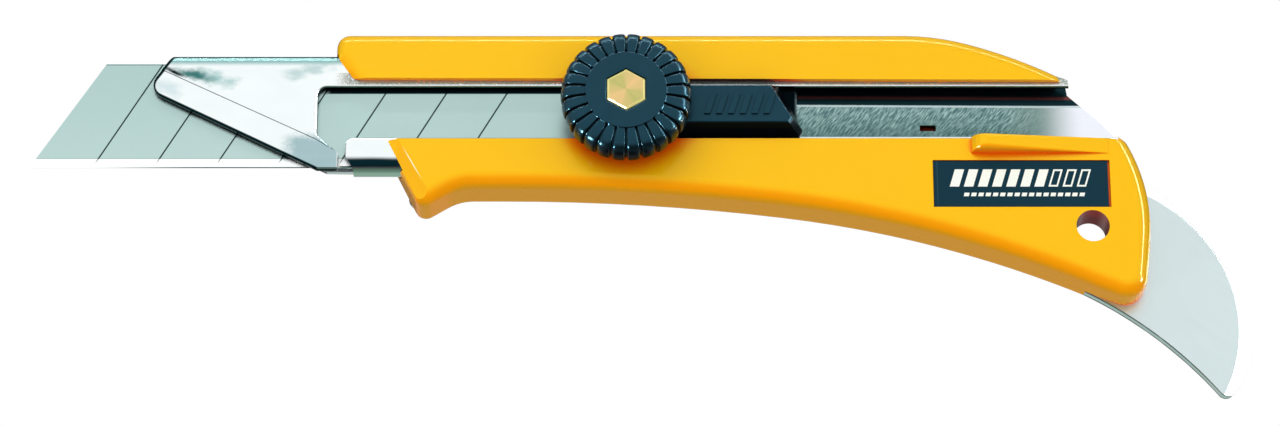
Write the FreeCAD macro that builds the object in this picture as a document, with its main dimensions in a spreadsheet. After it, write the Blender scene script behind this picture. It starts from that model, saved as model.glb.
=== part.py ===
"""Snap-off knife with a locking wheel, a moulded grip and a steel tail pick.

Working frame of every sub-part, in millimetres: X runs from the blade to the tail and is
counted from the wheel's axis, Y runs from the front to the back and is counted from the
blade's middle plane, Z runs up and is counted from the channel's centre line.
A Placement then moves each sub-part so that the origin is on the hanging hole's axis.
"""
import FreeCAD, Part
import math
import os
import re

import Sketcher

V = FreeCAD.Vector

# How near two lengths in millimetres must be to count as the same.
EXACT = 1e-6
CLOSE = 1e-3

# Driving dimensions: alias -> value in millimetres, degrees or a plain count.
DIMENSIONS = {
    # hanging hole, which carries the origin
    "hang_x": 74.2,
    "hang_z": -20.0,
    "hang_bore": 2.65,
    "hang_clearance": 4.25,
    # layers along Y
    "grip_front": -2.6,
    "lip_front": -1.45,
    "sheet": 0.8,
    "floor_back": 2.65,
    "parting": 3.5,
    "pick_back": 5.5,
    "cover_back": 6.5,
    "play": 0.05,
    "over": 1.0,
    "flush": 0.0,
    # outline of the handle: upper rail
    "rail_low": 5.5,
    "rail_left": -46.9,
    "rail_shoulder": 9.2,
    "rail_top": 13.6,
    "web_high_x": -42.0,
    "web_high_z": 2.2,
    "heel_start_x": -42.7,
    "heel_end_x": -45.45,
    "heel_end_z": 7.1,
    "heel_bend": 3.1,
    "rail_bend_x": 45.2,
    "rail_bend_radius": 38.0,
    "rail_mid_x": 55.2,
    "rail_mid_z": 12.15,
    "rail_tail_radius": 75.0,
    "rail_tail_x": 69.8,
    "rail_tail_z": 6.33,
    "rail_tip_x": 70.4,
    "rail_tip_z": 5.15,
    "slope_high_x": 72.3,
    "slope_high_z": 2.5,
    "slope_low_x": 78.1,
    "slope_low_z": -3.3,
    # outline of the handle: lower grip
    "grip_high": -5.05,
    "grip_corner_x": 80.3,
    "grip_side_radius": 30.0,
    "grip_side_x": 83.6,
    "grip_side_z": -20.5,
    "grip_rear_radius": 120.0,
    "grip_rear_x": 82.1,
    "grip_rear_z": -32.6,
    "belly_end_x": 75.3,
    "belly_end_z": -29.85,
    "belly_rear_radius": 175.0,
    "belly_mid_x": 25.2,
    "belly_mid_z": -15.7,
    "belly_front_radius": 350.0,
    "belly_start_x": -19.8,
    "waist": -12.85,
    "waist_x": -26.8,
    "toe_x": -33.0,
    "toe_z": -16.6,
    "web_low_x": -40.45,
    "web_low_z": -1.75,
    "bevel_high_x": -36.97,
    "bevel_high_z": -4.4,
    "bevel_low_x": -29.9,
    "bevel_low_z": -17.0,
    "bevel_high_wide": 2.2,
    "bevel_low_wide": 3.4,
    "bevel_rise": 0.3,
    "bevel_run": 1.5,
    "front_bevel_deep": 1.5,
    # corner rounding of the handle
    "round_rail": 2.1,
    "round_shoulder": 2.0,
    "round_toe": 1.8,
    "round_waist": 8.0,
    "round_rear": 3.4,
    "round_corner": 2.4,
    "round_front": 2.3,
    "round_back": 1.4,
    # wheel stop rib on the grip
    "stop_x": 55.2,
    "stop_end_x": 77.2,
    "stop_low": -7.6,
    "stop_front": -5.45,
    "stop_round": 0.8,
    "stop_nose": 2.2,
    "stop_fade": -2.66,
    "stop_fine": 0.05,
    # label and its recess
    "label_x": 49.1,
    "label_long": 27.8,
    "label_high": -8.9,
    "label_tall": 7.8,
    "label_thick": 0.35,
    "recess_deep": 0.5,
    "recess_gap": 0.12,
    "recess_gap_rear": 0.35,
    # folded channel
    "channel_half": 10.1,
    "channel_bend": 1.4,
    "channel_end": 79.0,
    "nose_x": -77.5,
    "nose_top_x": -73.05,
    "nose_top_z": 10.3,
    "nose_corner_z": 3.94,
    "nose_toe_x": -49.6,
    "nose_toe_z": -9.9,
    "nose_round": 2.4,
    "floor_setback": 0.7,
    "floor_clear": 0.3,
    "cut_skin": 0.1,
    "slot_half": 4.42,
    "slot_x": -49.8,
    "slot_round": 1.5,
    "slot_edge_round": 0.3,
    "gap_round": 0.8,
    "gap_high_z": -3.85,
    "gap_low_z": -7.0,
    "gap_x": -46.3,
    "lower_lip_x": -45.1,
    "lower_lip_z": -7.64,
    "lower_end_x": -43.8,
    "lower_round": 1.3,
    "crease_start_x": -74.7,
    "crease_start_z": 7.3,
    "crease_end_z": -4.6,
    "coin_deep": 0.22,
    "channel_top_x": 57.5,
    "channel_knee_x": 64.0,
    "channel_knee_z": 8.2,
    "channel_lip_x": 71.2,
    "channel_lip_z": 5.6,
    "tail_high_x": 71.4,
    "tail_high_z": 4.2,
    "tail_mid_x": 76.3,
    "tail_mid_z": -0.35,
    "tail_low_x": 79.0,
    "tail_low_z": -3.4,
    "tab_x": 47.4,
    "tab_z": -2.0,
    "tab_long": 2.6,
    "tab_tall": 1.0,
    # snap-off blade
    "blade_half": 9.0,
    "blade_drop": 0.15,
    "blade_thick": 0.5,
    "blade_edge": 0.04,
    "bevel_tall": 1.5,
    "blade_tip_x": -95.75,
    "blade_long": 100.0,
    "blade_angle": 59.5,
    "tip_angle": 57.3,
    "first_segment": 10.1,
    "segment": 9.8,
    "segments": 7,
    "score_wide": 0.16,
    "score_deep": 0.12,
    "blade_hole": 2.5,
    # carriage
    "carrier_front_x": -9.0,
    "carrier_head_x": 10.5,
    "carrier_rear_x": 27.5,
    "carrier_half": 8.9,
    "carrier_tail_half": 5.0,
    "carrier_thick": 1.2,
    "stud_shank": 1.8,
    "stud_bush": 2.3,
    "stud_thread": 2.0,
    "stud_step": -3.2,
    "stud_tip": -9.3,
    "stud_chamfer": 0.4,
    "slider_front": -4.85,
    "slider_nose_x": -8.0,
    "slider_face_low": -3.08,
    "slider_face_high": 3.3,
    "slider_top_x": 23.1,
    "slider_tail_x": 26.4,
    "slider_tail_z": -2.1,
    "slider_cut_x": 25.9,
    "slider_base_half": 4.3,
    "slider_base_top_x": 24.6,
    "slider_base_tail_x": 28.3,
    "slider_base_tail_z": -3.2,
    "slider_base_cut_x": 27.8,
    "slider_foot_x": 4.6,
    "foot_inset": 0.4,
    "shoe_half": 4.85,
    "shoe_x": 8.0,
    "shoe_thick": 1.1,
    "slider_round": 0.35,
    "ridge_x": 13.0,
    "ridge_pitch": 1.9,
    "ridges": 6,
    "ridge_wide": 0.95,
    "ridge_half": 1.75,
    "ridge_lean": 1.1,
    "ridge_high": 0.35,
    # wheel, its nut and its washer
    "wheel_back": -4.9,
    "wheel_front": -10.9,
    "wheel_radius": 10.35,
    "wheel_disc": 6.45,
    "wheel_rim_drop": 1.0,
    "wheel_round": 1.5,
    "wheel_round_back": 1.8,
    "wheel_ribs": 26,
    "groove_wide": 0.6,
    "groove_face": 0.75,
    "groove_side": 0.85,
    "groove_inset": 0.3,
    "washer_outer": 6.0,
    "washer_bore": 2.1,
    "washer_thick": 0.5,
    "washer_gap": 0.2,
    "nut_flat": 3.0,
    "nut_front": -11.0,
    "nut_chamfer": 0.25,
    "nut_bore": 2.05,
    "nut_bore_end": -9.6,
    "nut_gap": 0.12,
    "nut_gap_deep": 0.6,
    "thread_play": 0.01,
    # steel tail pick
    "tang_x": 57.5,
    "tang_high": -15.5,
    "tang_low": -20.4,
    "tang_step_x": 65.6,
    "tang_step_z": -24.0,
    "pick_open_x": 67.2,
    "pick_open_z": -26.1,
    "pick_belly_radius": 66.0,
    "pick_tip_x": 94.9,
    "pick_tip_z": -47.0,
    "pick_nose_radius": 15.0,
    "pick_brow_x": 98.0,
    "pick_brow_z": -29.4,
    "pick_back_radius": 62.0,
    "pick_neck_x": 85.6,
    "pick_neck_z": -11.4,
    "pick_root_x": 76.0,
    "pick_root_z": -11.2,
    "pick_tip_round": 1.3,
    "pick_neck_round": 1.8,
    "pick_bevel_x": 72.7,
    "pick_bevel_z": -34.8,
    "pick_bevel_radius": 24.7,
    "pick_bevel_wide": 4.0,
    "pick_bevel_deep": 2.6,
    # dowel pins and cover screws
    "pin_radius": 1.5,
    "pin_front": 0.8,
    "pin_rear_x": 79.4,
    "pin_rear_z": -14.6,
    "pin_tang_x": 61.5,
    "pin_tang_z": -18.0,
    "screw_radius": 0.9,
    "screw_tip": -0.4,
    "screw_head": 1.5,
    "screw_head_deep": 0.9,
    "screw_slot_wide": 0.5,
    "screw_slot_deep": 0.35,
    "screw_pass": 1.2,
}

# Screws that hold the back cover: the x and z of each. fill_sheet adds them to the sheet.
SCREW_PLACES = {
    "rail_front": (-36.0, 11.75),
    "rail_rear": (40.0, 11.75),
    "toe": (-33.6, -12.3),
    "belly": (30.0, -13.0),
    "tang": (54.0, -17.6),
    "rear": (79.2, -24.5),
}

# Axes of the hanging hole and of the two dowels, as aliases.
HANGING_SPOT = [("hang_x", "hang_z")]
PIN_SPOTS = [("pin_rear_x", "pin_rear_z"), ("pin_tang_x", "pin_tang_z")]

# Steps of the turn, in degrees, at which the wheel stop's rounded end is drawn.
STOP_TURNS = (10, 25, 45, 65, 90)

doc = FreeCAD.newDocument("snap_off_knife")
sheet = doc.addObject("Spreadsheet::Sheet", "Sheet")
sub_parts = []


# ---------------------------------------------------------------- helpers

def fill_sheet():
    """Write every driving dimension into the sheet, one named cell to a row."""
    rows = dict(DIMENSIONS)
    for place, (x, z) in SCREW_PLACES.items():
        rows["screw_" + place + "_x"] = x
        rows["screw_" + place + "_z"] = z
    for row, (alias, value) in enumerate(rows.items(), start=1):
        sheet.set("A" + str(row), alias)
        sheet.set("B" + str(row), str(value))
        sheet.setAlias("B" + str(row), alias)
    doc.recompute()


def cells(formula):
    """Turn the aliases in a formula into references to the sheet's cells."""
    return re.sub(r"\b[a-z]+(_[a-z]+)*\b(?!\()", lambda word: "Sheet." + word.group(), formula)


def value(formula):
    """Work out a formula of aliases as a plain number."""
    return float(sheet.evalExpression(cells(formula)))


def bind(target, prop, formula):
    """Drive a property or a constraint from the sheet."""
    target.setExpression(prop, cells(formula))


def new_body(label):
    """Start a sub-part whose Placement carries it from the working frame to the origin."""
    body = doc.addObject("PartDesign::Body", label)
    body.Label = label
    bind(body, "Placement.Base.x", "-hang_x")
    bind(body, "Placement.Base.z", "-hang_z")
    sub_parts.append(body)
    return body


def new_sketch(body, name, role, offset):
    """Attach a sketch to one of the body's origin planes, at an offset along its normal."""
    sketch = body.newObject("Sketcher::SketchObject", body.Label + "_" + name)
    plane = [item for item in body.Origin.OriginFeatures if item.Role == role][0]
    sketch.AttachmentSupport = (plane, "")
    sketch.MapMode = "FlatFace"
    bind(sketch, "AttachmentOffset.Base.z", offset)
    return sketch


def front_sketch(body, name, depth):
    """A sketch seen from the front, with X to the right and Z up, at the Y of `depth`."""
    return new_sketch(body, name, "XZ_Plane", "-(" + depth + ")")


def fix_point(sketch, geometry, end, x, z):
    """Hold a point of the sketch at two formulas of the sheet."""
    for kind, formula in (("DistanceX", x), ("DistanceY", z)):
        number = sketch.addConstraint(
            Sketcher.Constraint(kind, -1, 1, geometry, end, value(formula)))
        bind(sketch, "Constraints[%d]" % number, formula)


def arc_between(start, end, radius):
    """A counter-clockwise arc through two points, and whether it begins at `start`.
    It bulges to the left of the way from start to end, or to the right if radius is negative."""
    half = (end - start).Length / 2
    left = V(0, 0, 1).cross(end - start).normalize()
    depth = math.sqrt(radius * radius - half * half)
    centre = (start + end) / 2 - left * math.copysign(depth, radius)
    first, second = (end, start) if radius > 0 else (start, end)
    begin = math.atan2(first.y - centre.y, first.x - centre.x)
    finish = math.atan2(second.y - centre.y, second.x - centre.x)
    if finish < begin:
        finish += 2 * math.pi
    ring = Part.Circle(centre, V(0, 0, 1), abs(radius))
    return Part.ArcOfCircle(ring, begin, finish), radius < 0


def outline(sketch, corners):
    """Draw a closed loop. A corner is (x, z), or (x, z, radius) if an arc leads to it;
    a minus sign before the radius turns the arc's bulge to the right of its direction."""
    points = [V(value(corner[0]), value(corner[1]), 0) for corner in corners]
    for index, corner in enumerate(corners):
        before = corners[index - 1]
        first, second = 1, 2
        if len(corner) == 2:
            side = sketch.addGeometry(Part.LineSegment(points[index - 1], points[index]))
        else:
            arc, forwards = arc_between(points[index - 1], points[index], value(corner[2]))
            side = sketch.addGeometry(arc)
            first, second = (1, 2) if forwards else (2, 1)
            number = sketch.addConstraint(Sketcher.Constraint("Radius", side, arc.Radius))
            bind(sketch, "Constraints[%d]" % number, corner[2].lstrip("-"))
        fix_point(sketch, side, first, before[0], before[1])
        fix_point(sketch, side, second, corner[0], corner[1])


def rectangle(sketch, left, right, low, high):
    """Draw a rectangle from four formulas."""
    outline(sketch, [(left, low), (right, low), (right, high), (left, high)])


def circle(sketch, x, z, radius):
    """Draw a circle; a centre of None is the sketch's own origin."""
    place = V(0, 0, 0) if x is None else V(value(x), value(z), 0)
    ring = sketch.addGeometry(Part.Circle(place, V(0, 0, 1), value(radius)))
    if x is None:
        sketch.addConstraint(Sketcher.Constraint("Coincident", ring, 3, -1, 1))
    else:
        fix_point(sketch, ring, 3, x, z)
    number = sketch.addConstraint(Sketcher.Constraint("Radius", ring, value(radius)))
    bind(sketch, "Constraints[%d]" % number, radius)


def settle(feature):
    """Work the document out again, and stop if the new feature failed."""
    doc.recompute()
    if "Invalid" in feature.State or feature.Shape.isNull():
        raise ValueError(feature.Label + " failed")
    return feature


def pad(body, name, sketch, length, backwards=False):
    """Add material along the sketch's normal, or against it."""
    feature = body.newObject("PartDesign::Pad", body.Label + "_" + name)
    feature.Profile = sketch
    bind(feature, "Length", length)
    feature.Reversed = backwards
    return settle(feature)


def pocket(body, name, sketch, length, forwards=False):
    """Cut material against the sketch's normal, or along it, and prove that it cut."""
    before = body.Shape.Volume
    feature = body.newObject("PartDesign::Pocket", body.Label + "_" + name)
    feature.Profile = sketch
    bind(feature, "Length", length)
    feature.Reversed = forwards
    settle(feature)
    if not body.Shape.Volume < before:
        raise ValueError(feature.Label + " cuts nothing")
    return feature


def plate(body, name, corners, front, back):
    """Add a slab with the given outline between two Y depths."""
    sketch = front_sketch(body, name + "_outline", back)
    outline(sketch, corners)
    return pad(body, name, sketch, "(%s) - (%s)" % (back, front))


def window(body, name, corners, front, back):
    """Cut the given outline between two Y depths."""
    sketch = front_sketch(body, name + "_outline", front)
    outline(sketch, corners)
    return pocket(body, name, sketch, "(%s) - (%s)" % (back, front))


def drill(body, name, places, radius, front, back):
    """Cut round holes between two Y depths."""
    sketch = front_sketch(body, name + "_circles", front)
    for x, z in places:
        circle(sketch, x, z, radius)
    return pocket(body, name, sketch, "(%s) - (%s)" % (back, front))


def round_edges(body, name, radius, chosen):
    """Round the edges of the body that `chosen` accepts."""
    base = body.Tip
    names = ["Edge%d" % number
             for number, edge in enumerate(base.Shape.Edges, start=1) if chosen(edge)]
    if not names:
        raise ValueError(body.Label + "_" + name + " finds no edge")
    feature = body.newObject("PartDesign::Fillet", body.Label + "_" + name)
    feature.Base = (base, names)
    bind(feature, "Radius", radius)
    return settle(feature)


def runs_along_depth(edge):
    """True for a straight edge parallel to Y."""
    if edge.Curve.TypeId != "Part::GeomLine":
        return False
    return abs(abs(edge.Curve.Direction.y) - 1) < EXACT


def upright_at(*places):
    """Accept the edges parallel to Y that pass through the named x and z."""
    spots = [(value(x), value(z)) for x, z in places]

    def accepts(edge):
        if not runs_along_depth(edge):
            return False
        foot = edge.Vertexes[0].Point
        return any(abs(foot.x - x) < CLOSE and abs(foot.z - z) < CLOSE for x, z in spots)
    return accepts


def lies_at_depth(depth):
    """Accept the edges whose every point has the same Y."""
    level = value(depth)

    def accepts(edge):
        box = edge.BoundBox
        return abs(box.YMin - level) < EXACT and abs(box.YMax - level) < EXACT
    return accepts


def handle_outline():
    """The handle seen from the front, counter-clockwise from the web between grip and rail."""
    return [
        ("web_low_x", "web_low_z"),
        ("toe_x", "toe_z"),
        ("waist_x", "waist"),
        ("belly_start_x", "waist"),
        ("belly_mid_x", "belly_mid_z", "belly_front_radius"),
        ("belly_end_x", "belly_end_z", "belly_rear_radius"),
        ("grip_rear_x", "grip_rear_z"),
        ("grip_side_x", "grip_side_z", "-grip_rear_radius"),
        ("grip_corner_x", "grip_high", "-grip_side_radius"),
        ("slope_low_x", "slope_low_z"),
        ("slope_high_x", "slope_high_z"),
        ("rail_tip_x", "rail_tip_z"),
        ("rail_tail_x", "rail_tail_z"),
        ("rail_mid_x", "rail_mid_z", "-rail_tail_radius"),
        ("rail_bend_x", "rail_top", "-rail_bend_radius"),
        ("rail_left", "rail_top"),
        ("rail_left", "rail_shoulder"),
        ("web_high_x", "web_high_z"),
    ]


def round_handle_corners(body):
    """Round the corners that the two halves of the handle share."""
    round_edges(body, "rail_corner", "round_rail", upright_at(("rail_left", "rail_top")))
    round_edges(body, "shoulder", "round_shoulder", upright_at(("rail_left", "rail_shoulder")))
    round_edges(body, "toe", "round_toe", upright_at(("toe_x", "toe_z")))
    round_edges(body, "waist", "round_waist", upright_at(("waist_x", "waist")))
    round_edges(body, "rear", "round_rear", upright_at(("grip_rear_x", "grip_rear_z")))
    round_edges(body, "corner", "round_corner", upright_at(("grip_corner_x", "grip_high")))


def screw_spots():
    """The x and z of every cover screw, as aliases."""
    return [("screw_" + place + "_x", "screw_" + place + "_z") for place in SCREW_PLACES]


# ---------------------------------------------------------------- handle

def front_grip():
    """The moulded front half: upper rail, lower grip and the thin web behind the channel."""
    body = new_body("front_grip")
    plate(body, "block", handle_outline(), "grip_front", "parting")
    round_handle_corners(body)
    round_edges(body, "front_round", "round_front", lies_at_depth("grip_front"))
    front_bevel(body)

    cavity = [
        ("rail_left - over", "-channel_half - play"),
        ("channel_end + play", "-channel_half - play"),
        ("channel_end + play", "channel_lip_z + play"),
        ("channel_lip_x + play", "channel_lip_z + play"),
        ("channel_knee_x", "channel_knee_z + play"),
        ("channel_top_x", "channel_half + play"),
        ("rail_left - over", "channel_half + play"),
    ]
    window(body, "cavity", cavity, "lip_front - play", "floor_back + play")
    opening = [
        ("rail_left - over", "grip_high"),
        ("grip_side_x + over", "grip_high"),
        ("grip_side_x + over", "rail_tip_z"),
        ("rail_tip_x", "rail_tip_z"),
        ("heel_start_x", "rail_low"),
        ("heel_end_x", "heel_end_z", "heel_bend"),
        ("rail_left - over", "heel_end_z"),
    ]
    window(body, "opening", opening, "grip_front - over", "lip_front")

    wheel_stop(body)

    recess = front_sketch(body, "recess_outline", "grip_front")
    rectangle(recess, "label_x - recess_gap", "label_x + label_long + recess_gap_rear",
              "label_high - label_tall - recess_gap", "label_high + recess_gap")
    pocket(body, "recess", recess, "recess_deep")

    drill(body, "hanging_hole", HANGING_SPOT, "hang_bore", "stop_front - over", "parting + over")
    drill(body, "screw_holes", screw_spots(), "screw_radius + thread_play", "screw_tip", "parting + over")
    drill(body, "pin_holes", PIN_SPOTS, "pin_radius + thread_play", "pin_front", "parting + over")

    tab = front_sketch(body, "tab_pocket_outline", "floor_back")
    rectangle(tab, "tab_x - over", "tab_x + tab_long + over", "tab_z - tab_tall", "tab_z + tab_tall * 2")
    pocket(body, "tab_pocket", tab, "parting - floor_back")


def front_bevel(body):
    """Plane off the grip's front corner, more widely towards the toe."""
    cut = body.newObject("PartDesign::SubtractiveLoft", "front_grip_bevel")
    sections = []
    for end in ("high", "low"):
        place = "bevel_" + end
        sketch = new_sketch(body, place, "XY_Plane", place + "_z")
        outline(sketch, [
            (place + "_x + bevel_rise * " + place + "_wide", "grip_front - bevel_rise * front_bevel_deep"),
            (place + "_x - bevel_run * " + place + "_wide", "grip_front + bevel_run * front_bevel_deep"),
            (place + "_x - bevel_run * " + place + "_wide", "grip_front - bevel_rise * front_bevel_deep"),
        ])
        sections.append(sketch)
    cut.Profile = sections[0]
    cut.Sections = sections[1:]
    cut.Ruled = True
    settle(cut)


def stop_section(body, name, place, crest, bend):
    """A cross-section of the wheel stop: its crest is at a Y depth and its corners are round."""
    sketch = new_sketch(body, name, "YZ_Plane", place)
    root = "grip_front + recess_deep"
    outline(sketch, [
        (root, "stop_low"),
        (crest + " + " + bend, "stop_low"),
        (crest, "stop_low + " + bend, bend),
        (crest, "grip_high - " + bend),
        (crest + " + " + bend, "grip_high", bend),
        (root, "grip_high"),
    ])
    return sketch


def wheel_stop(body):
    """A wedge on the grip's upper edge that the wheel's rim meets when the blade is in.
    Its front end is a quarter ellipse, drawn as sections at a few steps of its turn."""
    sections = []
    for turn in STOP_TURNS:
        place = "stop_x + stop_nose * (1 - cos(%d))" % turn
        crest = "(grip_front - (grip_front - stop_front) * sin(%d))" % turn
        sections.append(stop_section(body, "stop_%d" % turn, place, crest, "stop_round * sin(%d)" % turn))
    sections.append(stop_section(body, "stop_finish", "stop_end_x", "stop_fade", "stop_round * stop_fine"))
    wedge = body.newObject("PartDesign::AdditiveLoft", "front_grip_stop")
    wedge.Profile = sections[0]
    wedge.Sections = sections[1:]
    wedge.Ruled = True
    settle(wedge)


def back_cover():
    """The moulded back half, with a pocket for the pick and countersunk screw holes."""
    body = new_body("back_cover")
    plate(body, "block", handle_outline(), "parting", "cover_back")
    round_handle_corners(body)
    round_edges(body, "back_round", "round_back", lies_at_depth("cover_back"))

    window(body, "pick_pocket", pick_outline("play"), "parting", "pick_back + play")
    drill(body, "hanging_hole", HANGING_SPOT, "hang_clearance", "parting - over", "cover_back + over")
    drill(body, "screw_holes", screw_spots(), "screw_pass", "parting - over", "cover_back + over")
    drill(body, "screw_heads", screw_spots(), "screw_head + play",
          "cover_back - screw_head_deep", "cover_back + over")


def pick_outline(gap):
    """The pick seen from the front, grown by a gap around its hidden tang."""
    return [
        ("tang_x - " + gap, "tang_high + " + gap),
        ("tang_x - " + gap, "tang_low - " + gap),
        ("tang_step_x", "tang_step_z - " + gap),
        ("pick_open_x - " + gap, "pick_open_z - " + gap),
        ("pick_tip_x", "pick_tip_z - " + gap, "pick_belly_radius"),
        ("pick_brow_x + " + gap, "pick_brow_z", "-pick_nose_radius"),
        ("pick_neck_x + " + gap, "pick_neck_z + " + gap, "-pick_back_radius"),
        ("pick_root_x", "pick_root_z + " + gap),
    ]


def tail_pick():
    """The flat steel pick, ground to a bevel around its tip."""
    body = new_body("tail_pick")
    plate(body, "blank", pick_outline("flush"), "parting", "pick_back")
    round_edges(body, "tip_round", "pick_tip_round", upright_at(("pick_tip_x", "pick_tip_z")))
    round_edges(body, "neck_round", "pick_neck_round", upright_at(("pick_neck_x", "pick_neck_z")))

    bevel = new_sketch(body, "bevel_outline", "XY_Plane", "pick_bevel_z")
    bind(bevel, "AttachmentOffset.Base.x", "pick_bevel_x")
    outline(bevel, [
        ("pick_bevel_radius", "parting"),
        ("pick_bevel_radius", "parting - over"),
        ("pick_bevel_radius + pick_bevel_wide", "parting - over"),
        ("pick_bevel_radius + pick_bevel_wide", "parting + pick_bevel_deep"),
    ])
    groove = body.newObject("PartDesign::Groove", "tail_pick_bevel")
    groove.Profile = bevel
    groove.ReferenceAxis = (bevel, ["V_Axis"])
    groove.Angle = 360
    doc.recompute()

    drill(body, "hanging_hole", HANGING_SPOT, "hang_clearance", "parting - over", "pick_back + over")
    drill(body, "pin_holes", PIN_SPOTS, "pin_radius + thread_play", "parting - over", "pick_back + over")
    rear_screw = [("screw_rear_x", "screw_rear_z")]
    drill(body, "screw_hole", rear_screw, "screw_pass", "parting - over", "pick_back + over")


def label_plate():
    """The thin plate that lies in the grip's recess."""
    body = new_body("label_plate")
    sketch = front_sketch(body, "outline", "grip_front + recess_deep")
    rectangle(sketch, "label_x", "label_x + label_long", "label_high - label_tall", "label_high")
    pad(body, "plate", sketch, "label_thick")


def pick_pins():
    """Two dowels that locate the pick between the halves of the handle."""
    body = new_body("pick_pins")
    sketch = front_sketch(body, "circles", "pick_back")
    for x, z in PIN_SPOTS:
        circle(sketch, x, z, "pin_radius")
    body.AllowCompound = True
    pad(body, "dowels", sketch, "pick_back - pin_front")


def cover_screws():
    """The slotted screws that hold the back cover, driven from the back."""
    body = new_body("cover_screws")
    body.AllowCompound = True
    shanks = front_sketch(body, "shank_circles", "cover_back - screw_head_deep")
    for x, z in screw_spots():
        circle(shanks, x, z, "screw_radius")
    pad(body, "shanks", shanks, "cover_back - screw_head_deep - screw_tip")
    heads = front_sketch(body, "head_circles", "cover_back")
    for x, z in screw_spots():
        circle(heads, x, z, "screw_head")
    pad(body, "heads", heads, "screw_head_deep")
    slots = front_sketch(body, "slot_outlines", "cover_back - screw_slot_deep")
    for x, z in screw_spots():
        rectangle(slots, x + " - 2 * screw_head", x + " + 2 * screw_head",
                  z + " - screw_slot_wide / 2", z + " + screw_slot_wide / 2")
    pocket(body, "slots", slots, "screw_slot_deep + over")


# ---------------------------------------------------------------- channel

def channel_section(body, name, role_offset, half, low, high):
    """A rectangle of the channel's cross-section, drawn across its length."""
    sketch = new_sketch(body, name, "YZ_Plane", role_offset)
    rectangle(sketch, low, high, "-(" + half + ")", half)
    return sketch


def blade_channel():
    """The folded sheet channel: floor, rolled sides, lips and the nose that guards the blade."""
    body = new_body("blade_channel")
    bar = channel_section(body, "outer", "nose_x", "channel_half", "lip_front", "floor_back")
    pad(body, "bar", bar, "channel_end - nose_x")
    round_edges(body, "outer_bends", "channel_bend", runs_along_length)
    hollow = channel_section(body, "inner", "channel_end + over", "channel_half - sheet",
                             "lip_front + sheet", "floor_back - sheet")
    pocket(body, "hollow", hollow, "channel_end - nose_x + 2 * over")
    inner = value("channel_half - sheet")
    round_edges(body, "inner_bends", "channel_bend - sheet",
                lambda edge: runs_along_length(edge) and abs(abs(edge.Vertexes[0].Z) - inner) < CLOSE)

    slot = [
        ("slot_x", "slot_half"),
        ("slot_x", "gap_high_z"),
        ("gap_x", "gap_low_z"),
        ("gap_x", "-channel_half - over"),
        ("lower_end_x", "-channel_half - over"),
        ("lower_end_x", "-channel_half + sheet / 2"),
        ("lower_lip_x", "lower_lip_z"),
        ("lower_lip_x", "-slot_half"),
        ("channel_end + over", "-slot_half"),
        ("channel_end + over", "slot_half"),
    ]
    window(body, "slot", slot, "lip_front - over", "lip_front + sheet + cut_skin")
    round_edges(body, "slot_corner", "slot_round", upright_at(("slot_x", "slot_half")))
    round_edges(body, "gap_corner", "gap_round", upright_at(("slot_x", "gap_high_z")))
    round_edges(body, "lip_corner", "lower_round", upright_at(("lower_lip_x", "-slot_half")))
    round_edges(body, "slot_edges", "slot_edge_round", slot_edge)

    nose_cut = [
        ("nose_x - over", "nose_top_z + over"),
        ("nose_x - over", "-channel_half - over"),
        ("gap_x - cut_skin", "-channel_half - over"),
        ("gap_x - cut_skin", "nose_toe_z"),
        ("nose_toe_x", "nose_toe_z"),
        ("nose_x", "nose_corner_z"),
        ("nose_top_x", "nose_top_z"),
        ("nose_top_x", "nose_top_z + over"),
    ]
    window(body, "nose", nose_cut, "lip_front - over", "floor_back + over")
    round_edges(body, "nose_corner", "nose_round", upright_at(("nose_x", "nose_corner_z")))
    floor_cut = [
        ("nose_x - over", "channel_half - sheet - floor_clear"),
        ("nose_x - over", "-channel_half - over"),
        ("lower_end_x", "-channel_half - over"),
        ("lower_end_x", "-channel_half + sheet"),
        ("nose_toe_x + 2 * floor_setback", "nose_toe_z + floor_setback"),
        ("nose_x + 2 * floor_setback", "nose_corner_z + floor_setback"),
        ("nose_x + 4 * floor_setback", "channel_half - sheet - floor_clear"),
    ]
    window(body, "floor_nose", floor_cut, "lip_front + sheet + cut_skin / 4", "floor_back + over")

    coin = [
        ("nose_x - over", "crease_start_z + coin_deep"),
        ("nose_x - over", "-channel_half - over"),
        ("gap_x + 2 * cut_skin", "-channel_half - over"),
        ("gap_x + 2 * cut_skin", "gap_low_z"),
        ("slot_x - cut_skin", "crease_end_z"),
        ("crease_start_x", "crease_start_z"),
    ]
    window(body, "coined_edge", coin, "lip_front - over", "lip_front + coin_deep")

    tail_cut = [
        ("channel_top_x", "channel_half + over"),
        ("channel_top_x", "channel_half"),
        ("channel_knee_x", "channel_knee_z"),
        ("channel_lip_x", "channel_lip_z"),
        ("tail_high_x", "tail_high_z"),
        ("tail_mid_x", "tail_mid_z"),
        ("tail_low_x", "tail_low_z"),
        ("channel_end + over", "tail_low_z"),
        ("channel_end + over", "channel_half + over"),
    ]
    window(body, "tail", tail_cut, "lip_front - over", "floor_back + over")

    lance = front_sketch(body, "tab_outline", "floor_back - sheet")
    rectangle(lance, "tab_x", "tab_x + tab_long", "tab_z", "tab_z + tab_tall")
    pocket(body, "tab_window", lance, "sheet + cut_skin")


def slot_edge(edge):
    """Accept the slot's two long front edges."""
    if not runs_along_length(edge) or not lies_at_depth("lip_front")(edge):
        return False
    return abs(abs(edge.Vertexes[0].Z) - value("slot_half")) < CLOSE


def runs_along_length(edge):
    """True for a straight edge parallel to X."""
    if edge.Curve.TypeId != "Part::GeomLine":
        return False
    return abs(abs(edge.Curve.Direction.x) - 1) < EXACT


# ---------------------------------------------------------------- blade and carriage

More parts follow.
